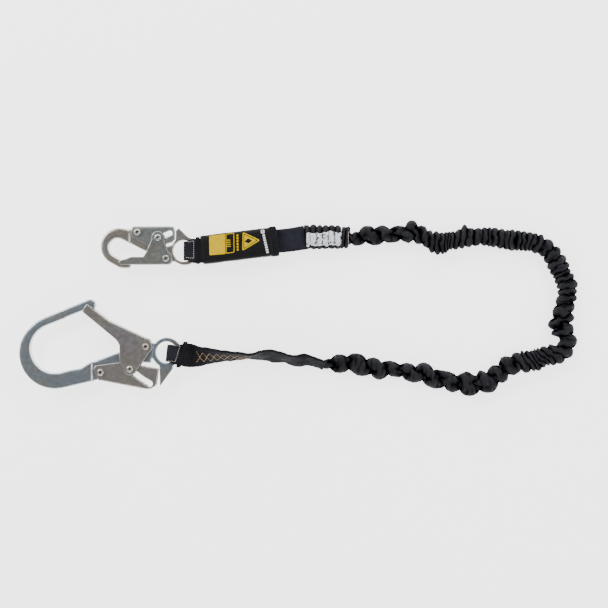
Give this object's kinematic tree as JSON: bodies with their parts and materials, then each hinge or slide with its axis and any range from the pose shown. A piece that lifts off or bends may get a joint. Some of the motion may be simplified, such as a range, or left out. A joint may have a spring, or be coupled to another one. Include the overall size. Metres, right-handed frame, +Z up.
{
  "type": "shock absorbing lanyard",
  "caption": "Shock absorbing lanyard: a double-locking snap hook, an energy absorber pack, a gathered elastic leg and a large rebar hook.",
  "frame": {"origin": "centre of the harness snap hook's bowl, at the hook's mid-thickness", "axes": "+X from the snap hook's bowl along the lanyard's pack, +Y to the left of it in the plane the lanyard lies in, +Z up off that plane"},
  "size_m": [0.7821, 0.2379, 0.0334],
  "materials": {
    "zinc": "zinc plated, satin",
    "dull_steel": "zinc plated, dull",
    "blue_steel": "zinc plated, satin",
    "rivet_steel": "bright",
    "webbing": "woven",
    "pad_fabric": "woven, coated",
    "thread": "matt",
    "label_yellow": "printed",
    "label_white": "printed"
  },
  "bodies": {
    "lanyard": {"harness_loop": "webbing", "harness_wear_pad": "pad_fabric", "harness_keeper": "webbing", "harness_stitching": "thread", "absorber_cover": "pad_fabric", "tear_webbing": "webbing", "cover_hem": "webbing", "panel_label": "label_yellow", "warning_label": "label_yellow", "neck_strap": "webbing", "sleeve_head": "webbing", "inspection_label": "label_white", "sleeve_band": "webbing", "elastic_leg": "webbing", "core_strap": "webbing", "tail_strap": "webbing", "anchor_loop": "webbing", "anchor_wear_pad": "pad_fabric", "anchor_keeper": "webbing", "anchor_stitching": "thread"},
    "snap_hook": {"snap_hook_body": "zinc", "snap_gate_rivet": "rivet_steel", "snap_lever_rivet": "rivet_steel", "snap_gate_spring": "rivet_steel", "snap_lever_spring": "rivet_steel"},
    "snap_gate_part": {"snap_gate": "dull_steel", "snap_interlock_rivet": "rivet_steel"},
    "snap_lever_part": {"snap_lock_lever": "dull_steel"},
    "rebar_hook": {"rebar_hook_body": "blue_steel", "rebar_gate_rivet": "rivet_steel", "rebar_lever_rivet": "rivet_steel", "rebar_gate_spring": "rivet_steel", "rebar_lever_spring": "rivet_steel"},
    "rebar_gate_part": {"rebar_gate": "dull_steel", "rebar_interlock_rivet": "rivet_steel"},
    "rebar_lever_part": {"rebar_lock_lever": "dull_steel"}
  },
  "joints": [
    {"name": "snap_hook_swing", "type": "hinge", "parent": "lanyard", "child": "snap_hook", "pos_m": [0.11025, -0.0044, 0], "axis": [0, 1, 0], "range_deg": [-25, 25]},
    {"name": "snap_gate_swing", "type": "hinge", "parent": "snap_hook", "child": "snap_gate_part", "pos_m": [0.0675, -0.0149, 0], "axis": [0, 0, -1], "range_deg": [0, 30], "stiffness_Nm_per_rad": 0.3, "springref_deg": -28.65, "deforming": ["snap_gate_spring"]},
    {"name": "snap_lever_squeeze", "type": "hinge", "parent": "snap_hook", "child": "snap_lever_part", "pos_m": [0.0275, 0.0214, 0], "axis": [0, 0, -1], "range_deg": [0, 6], "stiffness_Nm_per_rad": 0.4, "springref_deg": -17.19, "deforming": ["snap_lever_spring"]},
    {"name": "rebar_hook_swing", "type": "hinge", "parent": "lanyard", "child": "rebar_hook", "pos_m": [0.0858, -0.14908, 0], "axis": [0.1045, 0.9945, 0], "range_deg": [-25, 25]},
    {"name": "rebar_gate_swing", "type": "hinge", "parent": "rebar_hook", "child": "rebar_gate_part", "pos_m": [0.0392, -0.1381, 0], "axis": [0, 0, 1], "range_deg": [0, 42], "stiffness_Nm_per_rad": 0.4, "springref_deg": -28.65, "deforming": ["rebar_gate_spring"]},
    {"name": "rebar_lever_squeeze", "type": "hinge", "parent": "rebar_hook", "child": "rebar_lever_part", "pos_m": [-0.0239, -0.1738, 0], "axis": [0, 0, 1], "range_deg": [0, 10.5], "stiffness_Nm_per_rad": 0.5, "springref_deg": -17.19, "deforming": ["rebar_lever_spring"]}
  ],
  "couplings": [
    {"joint": "snap_lever_squeeze", "follows": "snap_gate_swing", "ratio": 0.2},
    {"joint": "rebar_lever_squeeze", "follows": "rebar_gate_swing", "ratio": 0.25}
  ]
}
